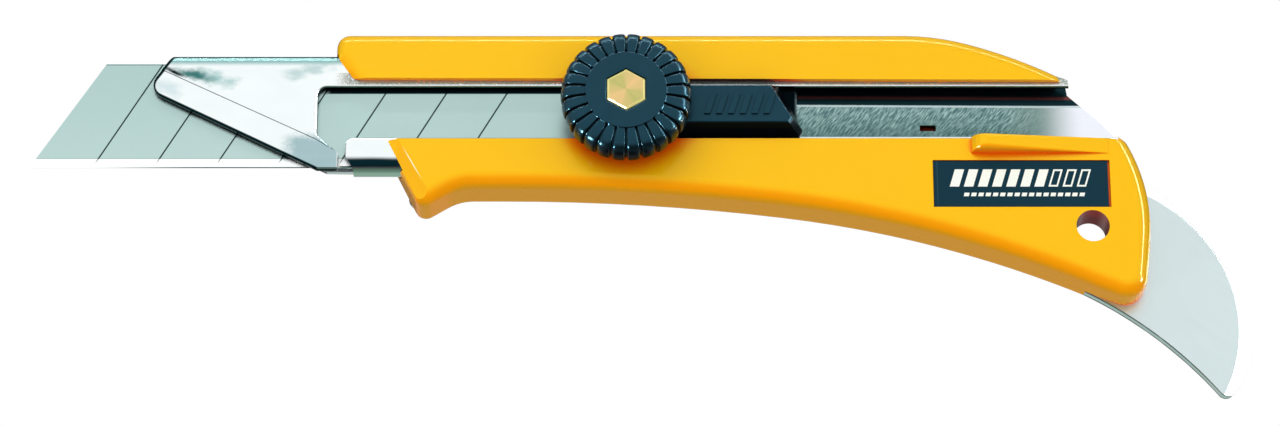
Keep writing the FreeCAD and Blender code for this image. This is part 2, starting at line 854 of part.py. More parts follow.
def snap_blade():
    """The snap-off blade: a bevelled strip with slanted score lines on its front."""
    body = new_body("snap_blade")
    bind(body, "Placement.Base.z", "-hang_z - blade_drop")
    section = new_sketch(body, "section", "YZ_Plane", "blade_tip_x")
    outline(section, [
        ("blade_thick / 2", "-blade_half + bevel_tall"),
        ("blade_thick / 2", "blade_half"),
        ("-blade_thick / 2", "blade_half"),
        ("-blade_thick / 2", "-blade_half + bevel_tall"),
        ("-blade_edge / 2", "-blade_half"),
        ("blade_edge / 2", "-blade_half"),
    ])
    pad(body, "strip", section, "blade_long")
    point = [
        ("blade_tip_x - over", "-blade_half - over"),
        ("blade_tip_x - over / tan(tip_angle)", "-blade_half - over"),
        ("blade_tip_x + (2 * blade_half + over) / tan(tip_angle)", "blade_half + over"),
        ("blade_tip_x - over", "blade_half + over"),
    ]
    window(body, "point", point, "-blade_thick", "blade_thick")
    lean = "2 * blade_half / tan(blade_angle)"
    for line in range(DIMENSIONS["segments"]):
        start = "blade_tip_x + first_segment + %d * segment" % line
        score = [
            (start + " - score_wide / 2", "-blade_half"),
            (start + " + score_wide / 2", "-blade_half"),
            (start + " + score_wide / 2 + " + lean, "blade_half"),
            (start + " - score_wide / 2 + " + lean, "blade_half"),
        ]
        window(body, "score_%d" % line, score, "-blade_thick", "-blade_thick / 2 + score_deep")
    eye = front_sketch(body, "eye_circle", "-blade_thick")
    circle(eye, None, None, "blade_hole")
    pocket(body, "eye", eye, "2 * blade_thick")


def carrier_plate():
    """The steel plate behind the blade, on which the stud is riveted."""
    body = new_body("carrier_plate")
    back = "blade_thick / 2 + play + carrier_thick"
    sketch = front_sketch(body, "outline", back)
    outline(sketch, [
        ("carrier_front_x", "-carrier_half"),
        ("carrier_head_x", "-carrier_half"),
        ("carrier_head_x", "-carrier_tail_half"),
        ("carrier_rear_x", "-carrier_tail_half"),
        ("carrier_rear_x", "carrier_tail_half"),
        ("carrier_head_x", "carrier_tail_half"),
        ("carrier_head_x", "carrier_half"),
        ("carrier_front_x", "carrier_half"),
    ])
    pad(body, "plate", sketch, "carrier_thick")
    round_edges(body, "corners", "carrier_thick", runs_along_depth)
    hole = front_sketch(body, "stud_circle", "0")
    circle(hole, None, None, "stud_shank + thread_play")
    pocket(body, "stud_hole", hole, back + " + over")


def turned(label, profile):
    """A sub-part turned about the wheel's axis; the profile is (radius, y) corners."""
    body = new_body(label)
    sketch = new_sketch(body, "profile", "XY_Plane", "0")
    outline(sketch, profile)
    turn = body.newObject("PartDesign::Revolution", label + "_turned")
    turn.Profile = sketch
    turn.ReferenceAxis = (sketch, ["V_Axis"])
    turn.Angle = 360
    doc.recompute()
    return body


def carrier_stud():
    """The stud: a riveted shank, a bush that fills the blade's hole, and a threaded end."""
    back = "blade_thick / 2 + play"
    body = new_body("carrier_stud")
    for name, radius, start, end in (
            ("shank", "stud_shank", back, back + " + carrier_thick"),
            ("bush", "stud_bush", "stud_step", back),
            ("thread", "stud_thread", "stud_tip", "stud_step")):
        sketch = front_sketch(body, name + "_circle", end)
        circle(sketch, None, None, radius)
        pad(body, name, sketch, "(%s) - (%s)" % (end, start))
    round_edges(body, "tip_round", "stud_chamfer", lies_at_depth("stud_tip"))


def slider_block():
    """The moulded slider: a tapered block in the slot, a shoe on the lips and a rear foot."""
    body = new_body("slider_block")
    face = front_sketch(body, "face_outline", "slider_front")
    outline(face, [
        ("slider_nose_x", "slider_face_low"),
        ("slider_cut_x", "slider_face_low"),
        ("slider_tail_x", "slider_tail_z"),
        ("slider_top_x", "slider_face_high"),
        ("slider_nose_x", "slider_face_high"),
    ])
    foot_outline = [
        ("slider_nose_x", "-slider_base_half"),
        ("slider_base_cut_x", "-slider_base_half"),
        ("slider_base_tail_x", "slider_base_tail_z"),
        ("slider_base_top_x", "slider_base_half"),
        ("slider_nose_x", "slider_base_half"),
    ]
    base = front_sketch(body, "base_outline", "lip_front")
    outline(base, foot_outline)
    taper = body.newObject("PartDesign::AdditiveLoft", "slider_block_taper")
    taper.Profile = base
    taper.Sections = [face]
    taper.Ruled = True
    doc.recompute()
    round_edges(body, "face_round", "slider_round", lies_at_depth("slider_front"))

    plate(body, "neck", foot_outline, "lip_front", "-blade_thick / 2 - play")
    rear = front_sketch(body, "foot_outline", "blade_thick / 2")
    rectangle(rear, "slider_foot_x", "carrier_rear_x - foot_inset",
              "-slider_base_half + foot_inset", "slider_base_half - foot_inset")
    pad(body, "foot", rear, "blade_thick + play")
    shoe = front_sketch(body, "shoe_outline", "lip_front - play")
    rectangle(shoe, "-shoe_x", "shoe_x", "-shoe_half", "shoe_half")
    pad(body, "shoe", shoe, "shoe_thick")
    slider_ridges(body)
    bore = front_sketch(body, "bore_circle", "slider_front - over")
    circle(bore, None, None, "stud_bush + play")
    pocket(body, "bore", bore, "-slider_front + 2 * over")


def slider_ridges(body):
    """A row of leaning finger ridges on the slider's face."""
    sketch = front_sketch(body, "ridge_outlines", "slider_front + ridge_high")
    for ridge in range(DIMENSIONS["ridges"]):
        left = "ridge_x + %d * ridge_pitch" % ridge
        outline(sketch, [
            (left + " - ridge_lean / 2", "-ridge_half"),
            (left + " - ridge_lean / 2 + ridge_wide", "-ridge_half"),
            (left + " + ridge_lean / 2 + ridge_wide", "ridge_half"),
            (left + " + ridge_lean / 2", "ridge_half"),
        ])
    pad(body, "ridges", sketch, "2 * ridge_high")


# ---------------------------------------------------------------- wheel

def lock_wheel():
    """The moulded locking wheel, with ribs around its rim and a hexagonal socket."""
    body = turned("lock_wheel", [
        ("nut_flat / 2", "wheel_back"),
        ("wheel_radius", "wheel_back"),
        ("wheel_radius", "wheel_front + wheel_rim_drop"),
        ("wheel_disc", "wheel_front"),
        ("nut_flat / 2", "wheel_front"),
    ])

    round_edges(body, "rim_round", "wheel_round", rim_circle("wheel_front + wheel_rim_drop"))
    round_edges(body, "back_round", "wheel_round_back", rim_circle("wheel_back"))

    face = front_sketch(body, "face_groove_outline", "wheel_front - over")
    rectangle(face, "wheel_disc + groove_inset", "wheel_radius + over", "-groove_wide / 2", "groove_wide / 2")
    shallow = pocket(body, "face_groove", face, "over + wheel_rim_drop + groove_face")
    side = front_sketch(body, "side_groove_outline", "wheel_front - over")
    rectangle(side, "wheel_radius - groove_side", "wheel_radius + over",
              "-groove_wide / 2", "groove_wide / 2")
    deep = pocket(body, "side_groove", side, "wheel_back - wheel_front + 2 * over")
    ring = body.newObject("PartDesign::PolarPattern", "lock_wheel_grooves")
    ring.Originals = [shallow, deep]
    ring.Axis = (side, ["N_Axis"])
    ring.Angle = 360
    bind(ring, "Occurrences", "wheel_ribs")
    body.Tip = ring
    doc.recompute()

    seat = front_sketch(body, "washer_circle", "wheel_back - washer_thick - play")
    circle(seat, None, None, "washer_outer + washer_gap")
    pocket(body, "washer_seat", seat, "washer_thick + over")
    socket = front_sketch(body, "socket_outline", "wheel_front - over")
    outline(socket, hexagon("nut_flat + thread_play"))
    pocket(body, "socket", socket, "wheel_back - wheel_front + 2 * over")
    mouth = front_sketch(body, "mouth_outline", "wheel_front - over")
    outline(mouth, hexagon("nut_flat + nut_gap"))
    pocket(body, "mouth", mouth, "over + nut_gap_deep")


def rim_circle(depth):
    """Accept the wheel's outermost circle at a Y depth."""
    def accepts(edge):
        if not lies_at_depth(depth)(edge):
            return False
        return abs(edge.BoundBox.XMax - value("wheel_radius")) < CLOSE
    return accepts


def hexagon(flat):
    """Corners of a hexagon with its points up and down, from its half width across flats."""
    corner = "2 * (%s) / sqrt(3)" % flat
    return [("(%s) * sin(%d)" % (corner, turn), "(%s) * cos(%d)" % (corner, turn))
            for turn in range(0, 360, 60)]


def wheel_nut():
    """The brass hexagonal insert that runs on the stud's thread."""
    body = new_body("wheel_nut")
    back = "wheel_back - washer_thick - play"
    bar = front_sketch(body, "bar_outline", back)
    outline(bar, hexagon("nut_flat"))
    blank = pad(body, "bar", bar, back + " - nut_front")
    names = ["Edge%d" % number for number, edge in enumerate(blank.Shape.Edges, start=1)
             if lies_at_depth("nut_front")(edge)]
    chamfer = body.newObject("PartDesign::Chamfer", "wheel_nut_chamfer")
    chamfer.Base = (blank, names)
    bind(chamfer, "Size", "nut_chamfer")
    settle(chamfer)
    bore = front_sketch(body, "bore_circle", "nut_bore_end")
    circle(bore, None, None, "nut_bore")
    pocket(body, "bore", bore, back + " - nut_bore_end + over")


def thrust_washer():
    """The steel washer between the wheel and the slider."""
    body = new_body("thrust_washer")
    sketch = front_sketch(body, "rings", "wheel_back")
    circle(sketch, None, None, "washer_outer")
    circle(sketch, None, None, "washer_bore")
    pad(body, "ring", sketch, "washer_thick")


# ---------------------------------------------------------------- checks and files

def check_document():
    """Stop if any object failed or any sub-part has no sound shape."""
    for item in doc.Objects:
        if "Invalid" in item.State or "Error" in item.State:
            raise ValueError(item.Name + " failed: " + str(item.State))
    for part in sub_parts:
        if part.Shape.isNull() or not part.Shape.isValid():
            raise ValueError(part.Label + " has no valid shape")


def write_parts():
    """Write each sub-part to its own STEP file."""
    os.makedirs("parts", exist_ok=True)
    for part in sub_parts:
        part.Shape.exportStep(os.path.join("parts", part.Label + ".step"))
        print(part.Label, len(part.Shape.Solids), round(part.Shape.Volume, 1))


fill_sheet()
front_grip()
back_cover()
tail_pick()
label_plate()
pick_pins()
cover_screws()
blade_channel()
snap_blade()
carrier_plate()
carrier_stud()
slider_block()
lock_wheel()
wheel_nut()
thrust_washer()
doc.recompute()
check_document()
write_parts()
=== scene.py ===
"""Looks for the snap-off knife: materials, print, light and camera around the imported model."""
import math

import bpy
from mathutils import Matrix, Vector


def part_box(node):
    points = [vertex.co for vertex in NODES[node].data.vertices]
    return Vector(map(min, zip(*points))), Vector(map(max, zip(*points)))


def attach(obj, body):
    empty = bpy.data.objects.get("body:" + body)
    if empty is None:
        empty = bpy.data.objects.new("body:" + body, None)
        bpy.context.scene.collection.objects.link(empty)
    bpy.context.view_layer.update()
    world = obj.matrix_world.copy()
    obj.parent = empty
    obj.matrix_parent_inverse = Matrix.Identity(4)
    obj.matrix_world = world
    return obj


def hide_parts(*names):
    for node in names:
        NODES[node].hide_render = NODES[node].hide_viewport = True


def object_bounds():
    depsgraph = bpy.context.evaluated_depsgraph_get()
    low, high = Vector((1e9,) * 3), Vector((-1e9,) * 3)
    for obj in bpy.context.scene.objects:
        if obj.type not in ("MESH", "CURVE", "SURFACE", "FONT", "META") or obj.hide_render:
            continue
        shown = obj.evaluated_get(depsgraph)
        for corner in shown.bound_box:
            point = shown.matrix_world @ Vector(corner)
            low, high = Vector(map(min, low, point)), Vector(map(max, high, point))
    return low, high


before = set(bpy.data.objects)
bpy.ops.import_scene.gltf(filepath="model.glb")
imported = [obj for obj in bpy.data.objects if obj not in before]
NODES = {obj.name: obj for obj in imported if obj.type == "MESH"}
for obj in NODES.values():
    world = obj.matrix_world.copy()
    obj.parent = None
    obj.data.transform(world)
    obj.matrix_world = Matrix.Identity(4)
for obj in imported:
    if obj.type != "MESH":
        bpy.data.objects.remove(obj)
cad_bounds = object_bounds()

MM = 0.001


def centre_of(bounds):
    low, high = Vector(bounds[0]), Vector(bounds[1])
    return (low + high) / 2


# Lengths on the knife are in millimetres from the wheel's axis (x), the blade's middle plane (y)
# and the channel's centre line (z), as in the CAD model.
AXIS = centre_of(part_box("wheel_nut"))
AXIS.y = 0.0


def at(x, y, z):
    """A place on the knife, in the scene's metres."""
    return AXIS + Vector((x, y, z)) * MM


# ---------------------------------------------------------------- material helpers

def srgb(red, green, blue):
    """A colour given as it is seen on a screen, 0 to 255, as linear values for a shader."""
    def linear(level):
        level /= 255
        return level / 12.92 if level <= 0.04045 else ((level + 0.055) / 1.055) ** 2.4
    return (linear(red), linear(green), linear(blue), 1.0)


class Shader:
    """A material's node tree, with short calls for the nodes this scene uses."""

    def __init__(self, name):
        self.material = bpy.data.materials.new(name)
        self.material.use_nodes = True
        self.tree = self.material.node_tree
        self.surface = self.tree.nodes["Principled BSDF"]
        on_piece = self.add("ShaderNodeTexCoord").outputs["Object"]
        self.place, (self.x, self.y, self.z) = self.from_axis(on_piece)

    def from_axis(self, place):
        """A place in metres as millimetres from the wheel's resting axis, whole and in its parts."""
        centred = self.add("ShaderNodeVectorMath", operation="SUBTRACT")
        self.feed(centred, 0, place)
        self.feed(centred, 1, tuple(AXIS))
        sized = self.add("ShaderNodeVectorMath", operation="SCALE")
        self.feed(sized, 0, centred.outputs[0])
        self.feed(sized, "Scale", 1 / MM)
        parts = self.add("ShaderNodeSeparateXYZ")
        self.feed(parts, 0, sized.outputs[0])
        return sized.outputs[0], parts.outputs

    def still(self):
        """The place in the scene rather than on the piece, as x and z, for shade that stays put
        when the piece slides."""
        place, (x, y, z) = self.from_axis(self.add("ShaderNodeNewGeometry").outputs["Position"])
        return x, z

    def add(self, kind, **settings):
        """Add a node; settings named after its properties are set on it."""
        node = self.tree.nodes.new(kind)
        for prop, setting in settings.items():
            setattr(node, prop, setting)
        return node

    def feed(self, node, name, source):
        """Set an input to a value, or link it to a socket."""
        socket = node.inputs[name]
        if isinstance(source, bpy.types.NodeSocket):
            self.tree.links.new(source, socket)
        else:
            socket.default_value = source

    def look(self, **inputs):
        """Set inputs of the surface, with underscores for the spaces in their names."""
        for name, source in inputs.items():
            self.feed(self.surface, name.replace("_", " "), source)

    def noise(self, scale, turn=0.0, detail=3.0, roughness=0.5):
        """Smooth noise of 0 to 1, with `scale` features to a millimetre along each axis,
        after a turn in degrees about the knife's front-to-back axis."""
        mapping = self.add("ShaderNodeMapping", vector_type="TEXTURE")
        self.feed(mapping, "Vector", self.place)
        self.feed(mapping, "Rotation", (0, math.radians(turn), 0))
        self.feed(mapping, "Scale", tuple(1 / step for step in scale))
        node = self.add("ShaderNodeTexNoise")
        self.feed(node, "Vector", mapping.outputs["Vector"])
        self.feed(node, "Scale", 1.0)
        self.feed(node, "Detail", detail)
        self.feed(node, "Roughness", roughness)
        return node.outputs["Fac"]

    def spread(self, source, low, high, start=0.0, end=1.0, smooth=False):
        """Map a value from start..end to low..high, and hold it there outside."""
        node = self.add("ShaderNodeMapRange", interpolation_type="SMOOTHSTEP" if smooth else "LINEAR")
        self.feed(node, "Value", source)
        self.feed(node, "From Min", start)
        self.feed(node, "From Max", end)
        self.feed(node, "To Min", low)
        self.feed(node, "To Max", high)
        return node.outputs["Result"]

    def mask(self, source, start, end):
        """0 at start and beyond, 1 at end and beyond, smooth between."""
        return self.spread(source, 0.0, 1.0, start, end, smooth=True)

    def band(self, source, low, high, soft):
        """1 between low and high, 0 outside, with soft edges."""
        return self.times(self.mask(source, low - soft, low + soft),
                          self.mask(source, high + soft, high - soft))

    def near(self, reach, lean=0.0):
        """0 to 1: how far the surface is covered by other surfaces within `reach` millimetres.
        A lean of 1 looks for them halfway between ahead and above."""
        node = self.add("ShaderNodeAmbientOcclusion", samples=10)
        self.feed(node, "Distance", reach * MM)
        if lean:
            tilted = self.add("ShaderNodeVectorMath", operation="ADD")
            self.feed(tilted, 0, self.add("ShaderNodeNewGeometry").outputs["Normal"])
            self.feed(tilted, 1, (0, 0, lean))
            level = self.add("ShaderNodeVectorMath", operation="NORMALIZE")
            self.feed(level, 0, tilted.outputs[0])
            self.feed(node, "Normal", level.outputs[0])
        return self.math("SUBTRACT", 1.0, node.outputs["AO"])

    def facing(self, axis):
        """The surface's own direction along an axis, -1 to 1."""
        parts = self.add("ShaderNodeSeparateXYZ")
        self.feed(parts, 0, self.add("ShaderNodeNewGeometry").outputs["Normal"])
        return parts.outputs[axis]

    def patch(self, centre, size, turn=0.0, waver=0.35, soft=0.6):
        """A soft-edged, uneven oval patch on the front: 1 at its centre, 0 outside."""
        mapping = self.add("ShaderNodeMapping", vector_type="TEXTURE")
        self.feed(mapping, "Vector", self.place)
        self.feed(mapping, "Location", (centre[0], 0, centre[1]))
        self.feed(mapping, "Rotation", (0, math.radians(turn), 0))
        self.feed(mapping, "Scale", (size[0], 1000.0, size[1]))
        length = self.add("ShaderNodeVectorMath", operation="LENGTH")
        self.feed(length, 0, mapping.outputs["Vector"])
        cloud = self.noise((0.5, 0.5, 0.8), detail=4.0)
        uneven = self.math("ADD", length.outputs["Value"], self.spread(cloud, -waver, waver))
        return self.mask(uneven, 1.0, 1.0 - soft)

    def blend(self, amount, first, second):
        """Mix two colours."""
        node = self.add("ShaderNodeMix", data_type="RGBA")
        self.feed(node, "Factor", amount)
        sockets = [socket for socket in node.inputs if socket.type == "RGBA"]
        for socket, source in zip(sockets, (first, second)):
            if isinstance(source, bpy.types.NodeSocket):
                self.tree.links.new(source, socket)
            else:
                socket.default_value = source
        return [socket for socket in node.outputs if socket.type == "RGBA"][0]

    def math(self, operation, *sources):
        """One arithmetic step."""
        node = self.add("ShaderNodeMath", operation=operation)
        for index, source in enumerate(sources):
            self.feed(node, index, source)
        return node.outputs[0]

    def times(self, product, *others):
        """The product of several values."""
        for source in others:
            product = self.math("MULTIPLY", product, source)
        return product

    def bump(self, height, depth, strength=1.0):
        """Raise the surface by a height map, whose full step is `depth` millimetres."""
        node = self.add("ShaderNodeBump")
        self.feed(node, "Height", height)
        self.feed(node, "Distance", depth * MM)
        self.feed(node, "Strength", strength)
        self.feed(self.surface, "Normal", node.outputs["Normal"])


def paint(node, material):
    """Give a CAD node its one material."""
    mesh = NODES[node].data
    mesh.materials.clear()
    mesh.materials.append(material)


# ---------------------------------------------------------------- plastics

# The hanging hole, whose wall is painted dark red as shade: its middle and the reach of that paint round
# it.
HANGING_HOLE = (74.2, -20.0)
HOLE_REACH = 3.4
# A painted highlight along the crease on the grip's front bevel: its middle, half its length and width,
# and its slope.
CREASE = (-34.25, -9.25)
CREASE_SIZE = (3.9, 0.13)
CREASE_SLOPE = 60.5


def yellow_plastic():
    """Glossy moulded plastic, with shade painted into its colour: orange on the sides turned down, an
    orange glow and dark shade where other surfaces are near, dark red on the hanging hole's wall, and a
    painted highlight along the crease of the grip's front bevel.
    """
    shader = Shader("yellow_plastic")
    cloud = shader.noise((0.04, 0.04, 0.04))
    grain = shader.noise((2.6, 2.6, 2.6), detail=4.0)
    flow = shader.noise((0.02, 0.4, 0.35), detail=5.0)
    scuff = shader.times(shader.mask(shader.noise((0.25, 1.5, 9.0), turn=8.0), 0.62, 0.75), 0.12)
    rough = shader.math("ADD", shader.spread(grain, 0.12, 0.18), scuff)
    colour = shader.blend(cloud, srgb(249, 190, 6), srgb(246, 186, 3))
    # Painted shade: faces turned down are painted orange, and faces turned straight down a browner yellow.
    down = shader.times(shader.facing("Z"), -1.0)
    colour = shader.blend(shader.mask(down, 0.05, 0.6), colour, srgb(255, 164, 4))
    colour = shader.blend(shader.mask(down, 0.75, 0.98), colour, srgb(232, 166, 30))
    # Painted glow and shade: orange where other surfaces are near, dark red-brown where they close in.
    covered = shader.near(5.0)
    colour = shader.blend(shader.mask(covered, 0.16, 0.5), colour, srgb(238, 84, 6))
    colour = shader.blend(shader.mask(covered, 0.66, 0.86), colour, srgb(70, 18, 8))
    # Painted shade: the hanging hole's wall is painted dark red.
    wall = shader.mask(shader.math("ABSOLUTE", shader.facing("Y")), 0.3, 0.15)
    wall = shader.times(wall, shader.patch(HANGING_HOLE, (HOLE_REACH, HOLE_REACH), waver=0.0, soft=0.1))
    colour = shader.blend(wall, colour, srgb(150, 24, 16))
    # Painted highlight: a pale line along the crease of the grip's front bevel.
    crease = shader.patch(CREASE, CREASE_SIZE, CREASE_SLOPE, waver=0.05, soft=0.8)
    colour = shader.blend(shader.times(crease, 0.85), colour, srgb(255, 246, 214))
    shader.look(Base_Color=colour, Roughness=rough, IOR=1.5,
                Specular_IOR_Level=shader.spread(down, 0.5, 0.05, 0.2, 0.9),
                Specular_Tint=srgb(255, 222, 150))
    shader.bump(shader.math("ADD", grain, shader.times(flow, 1.5)), 0.01, 0.25)
    return shader.material


def slate(shader, grain):
    """The blue-black of the moulded plastic, with painted black shade in its grooves and corners, on faces
    turned down and on the slider's foot.
    """
    # Painted shade: covered corners, faces turned down and the slider's foot are painted near-black.
    corner = shader.mask(shader.near(2.2), 0.3, 0.62)
    down = shader.times(shader.facing("Z"), -1.0)
    foot = shader.mask(shader.y, -4.7, -3.9)
    deep = shader.math("MAXIMUM", shader.math("MAXIMUM", corner, shader.mask(down, 0.3, 0.62)), foot)
    colour = shader.blend(grain, srgb(16, 42, 56), srgb(23, 50, 64))
    dull = shader.math("MAXIMUM", foot, shader.mask(down, 0.8, 0.95))
    shader.look(Base_Color=shader.blend(deep, colour, srgb(3, 9, 14)),
                Specular_Tint=srgb(120, 200, 230), IOR=1.5,
                Specular_IOR_Level=shader.spread(dull, 0.5, 0.03))


def black_plastic():
    """Blue-black moulded plastic with a fine satin surface and faint handling marks."""
    shader = Shader("black_plastic")
    grain = shader.noise((3.0, 3.0, 3.0), detail=4.0)
    smear = shader.noise((0.3, 0.3, 0.12), turn=35.0, detail=4.0)
    slate(shader, smear)
    shader.look(Roughness=shader.math("ADD", shader.spread(grain, 0.15, 0.24),
                                      shader.spread(smear, 0.0, 0.08)))
    shader.bump(grain, 0.02, 0.3)
    return shader.material


def label_plastic():
    """The smooth printed plate, with a thin paler stripe near its front end."""
    shader = Shader("label")
    grain = shader.noise((4.0, 4.0, 4.0), detail=4.0)
    low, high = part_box("label_plate")
    start = (low[0] - AXIS.x) / MM
    # A thin paler stripe across the plate near its front end.
    pale_stripe = shader.times(shader.band(shader.x, start + 0.5, start + 0.62, 0.1), 0.45)
    shader.look(Base_Color=shader.blend(pale_stripe, srgb(14, 32, 43), srgb(60, 88, 100)),
                Roughness=shader.spread(grain, 0.25, 0.36), Specular_Tint=srgb(90, 190, 225))
    shader.bump(grain, 0.01, 0.2)
    return shader.material


def label_ink():
    """Off-white printing ink, slightly uneven."""
    shader = Shader("label_ink")
    grain = shader.noise((5.0, 5.0, 5.0), detail=4.0)
    shader.look(Base_Color=shader.blend(grain, srgb(226, 232, 226), srgb(250, 252, 246)),
                Roughness=shader.spread(grain, 0.4, 0.55))
    shader.bump(grain, 0.01, 0.3)
    return shader.material


# ---------------------------------------------------------------- metals

# The blade: the score lines' slope, the first segment's length and the others', and the height of the
# grind along the edge, which is painted white as a highlight.
SCORE_ANGLE = math.radians(59.5)
FIRST_SEGMENT = 10.1
SEGMENT = 9.8
GRIND = 1.5

# The channel: the depths behind and before which its floor and its front lie, where the lower lip
# starts behind the nose, and the height at which the floor passes under the upper lip.
FLOOR_DEPTH = 1.4
FLAP_DEPTH = -0.6
LIP_START = -46.4
UPPER_LIP = 2.6
# The nose: its corner, the corner's rounding, and the slopes of the edges that leave it.
NOSE_X, NOSE_Z = -77.5, 3.94
NOSE_ROUND = 2.4
FLAP_SLOPE = math.radians(26.4)
END_SLOPE = math.radians(55.0)


def nose_inset(shader):
    """How far a point of the nose lies inside its outline, in millimetres."""
    x = shader.math("SUBTRACT", shader.x, NOSE_X)
    z = shader.math("SUBTRACT", shader.z, NOSE_Z)
    short = []
    for slope, side in ((FLAP_SLOPE, 1), (END_SLOPE, -1)):
        inset = shader.math("ADD", shader.times(x, math.sin(slope)),
                            shader.times(z, side * math.cos(slope)))
        short.append(shader.math("MAXIMUM", shader.math("SUBTRACT", NOSE_ROUND, inset), 0.0))
    squares = [shader.times(side, side) for side in short]
    return shader.math("SUBTRACT", NOSE_ROUND, shader.math("SQRT", shader.math("ADD", *squares)))


def channel_steel():
    """Bright rolled sheet: drawn lines along it, smudge marks and painted reflections on the nose, painted
    reflections on the rolled edges, painted shade on the cut edges and in corners, and a scratched floor
    with painted shadow, reflection and highlights.
    """
    shader = Shader("channel_steel")
    lines = shader.noise((0.05, 3.0, 7.0), detail=4.0)
    cloud = shader.noise((0.12, 0.12, 0.25), detail=3.0)
    fine = shader.noise((1.4, 1.0, 1.8), detail=5.0, roughness=0.65)
    colour = shader.blend(cloud, srgb(240, 245, 246), srgb(253, 254, 254))

    # The front: smudge marks and painted reflections on the nose, and painted reflections in bands where
    # the rolled edges turn away.
    front = shader.mask(shader.y, FLAP_DEPTH + 0.1, FLAP_DEPTH - 0.1)
    teal, dark = srgb(44, 112, 108), srgb(6, 34, 38)
    # Patches on the nose: the pale ones are smudge marks, and the teal one and the dark one near the
    # flap's upper left are painted reflections.
    smudges_and_reflections = (
        ((-67.4, 6.1), (6.6, 1.8), 14.0, srgb(170, 204, 202), 0.95),
        ((-69.6, 6.5), (4.4, 1.4), 20.0, teal, 0.95),
        ((-73.2, 7.0), (2.6, 0.55), 27.0, dark, 1.0),
        ((-74.0, 4.2), (3.4, 2.2), 26.0, srgb(214, 228, 232), 0.9),
        ((-51.5, 7.2), (6.0, 1.6), -14.0, srgb(184, 208, 208), 0.8),
    )
    for centre, size, turn, tint, strength in smudges_and_reflections:
        amount = shader.times(shader.patch(centre, size, turn, waver=0.7, soft=0.9), front)
        colour = shader.blend(shader.times(amount, strength), colour, tint)
    before_lip = shader.mask(shader.x, LIP_START + 0.2, LIP_START - 0.2)
    uneven = shader.spread(fine, -1.2, 1.2)
    toe = shader.times(shader.mask(shader.math("ADD", shader.x, uneven), -56.2, -52.6),
                      shader.mask(shader.math("ADD", shader.z, uneven), -3.2, -5.0))
    toe = shader.times(toe, front, before_lip)
    colour = shader.blend(toe, colour, shader.blend(cloud, srgb(150, 180, 184), srgb(186, 206, 212)))

    # Painted reflection: a dark band on the lower rolled edge where it turns away.
    streak = shader.noise((0.12, 0.5, 1.5), detail=3.0)
    shade = shader.math("ADD", shader.z, shader.spread(streak, -0.25, 0.25))
    lip = shader.mask(shader.x, LIP_START - 0.2, LIP_START + 0.8)
    under = shader.times(shader.band(shade, -9.75, -8.0, 0.5), lip)
    colour = shader.blend(under, colour, srgb(10, 36, 42))
    up = shader.facing("Z")
    # Painted reflection: faces turned down on the lower roll are painted green.
    colour = shader.blend(shader.mask(up, -0.55, -0.75), colour, srgb(150, 190, 166))
    # Painted reflection: a grey-teal band on the upper roll, and dark teal on faces turned up.
    top = shader.band(shader.z, 8.4, 9.7, 0.5)
    colour = shader.blend(top, colour, srgb(150, 190, 188))
    colour = shader.blend(shader.mask(up, 0.5, 0.6), colour, srgb(14, 72, 72))
    speckle = shader.times(shader.mask(shader.noise((4.0, 4.0, 4.0), detail=5.0), 0.3, 0.54),
                          shader.band(shader.z, 4.75, 6.8, 0.12))
    speckle = shader.times(speckle, front, shader.mask(shader.x, -47.5, -44.5))
    colour = shader.blend(shader.times(speckle, 0.85), colour, srgb(112, 122, 108))
    # Painted shade: a dark line just inside the nose's outline and along the flap's lower edge.
    rim = shader.mask(nose_inset(shader), 0.56, 0.36)
    rim = shader.times(rim, shader.mask(shader.x, -49.2, -49.8))
    lower_edge = shader.times(shader.mask(shader.z, -9.6, -9.8), before_lip)
    rim = shader.times(shader.math("MAXIMUM", rim, lower_edge), front)
    colour = shader.blend(rim, colour, srgb(6, 30, 32))

    # The inside: a scratched floor, with a painted shadow and reflection under the upper lip.
    inside = shader.mask(shader.y, FLOOR_DEPTH - 0.25, FLOOR_DEPTH - 0.1)
    inside = shader.times(inside, shader.mask(shader.facing("Y"), 0.3, -0.3))
    strokes = shader.noise((7.5, 1.0, 0.75), turn=38.0, detail=2.0, roughness=0.6)
    scratch = shader.mask(strokes, 0.42, 0.62)
    worn = shader.band(shader.x, 20.0, 65.0, 4.5)
    height = shader.spread(shader.z, 0.0, 1.0, -2.6, 1.6)
    scratched = shader.blend(scratch, shader.blend(height, srgb(66, 98, 98), srgb(84, 118, 120)),
                             shader.blend(height, srgb(128, 158, 154), srgb(168, 196, 192)))
    smooth = shader.blend(shader.mask(shader.x, 66.0, 74.0), srgb(130, 152, 146), srgb(236, 236, 244))
    floor = shader.blend(worn, smooth, scratched)
    # Under the upper lip: a pale line, above it a painted shadow and reflection in dark, and a brownish
    # stripe that paints the yellow rail's reflection.
    shadow_line = shader.math("ADD", shader.z, shader.spread(shader.x, 0.0, 0.25, 20.0, 70.0))
    floor = shader.blend(shader.band(shadow_line, UPPER_LIP - 0.3, UPPER_LIP, 0.08), floor, srgb(196, 210, 212))
    floor = shader.blend(shader.mask(shadow_line, UPPER_LIP + 0.02, UPPER_LIP + 0.1), floor, srgb(20, 44, 50))
    stripe = shader.band(shadow_line, UPPER_LIP + 1.1, UPPER_LIP + 1.6, 0.15)
    floor = shader.blend(shader.times(stripe, 0.9), floor, srgb(118, 64, 62))
    # Painted highlight: the floor is painted near-white along its lower part.
    floor = shader.blend(shader.mask(shader.z, -2.95, -3.07), floor, srgb(240, 243, 248))
    colour = shader.blend(inside, colour, floor)

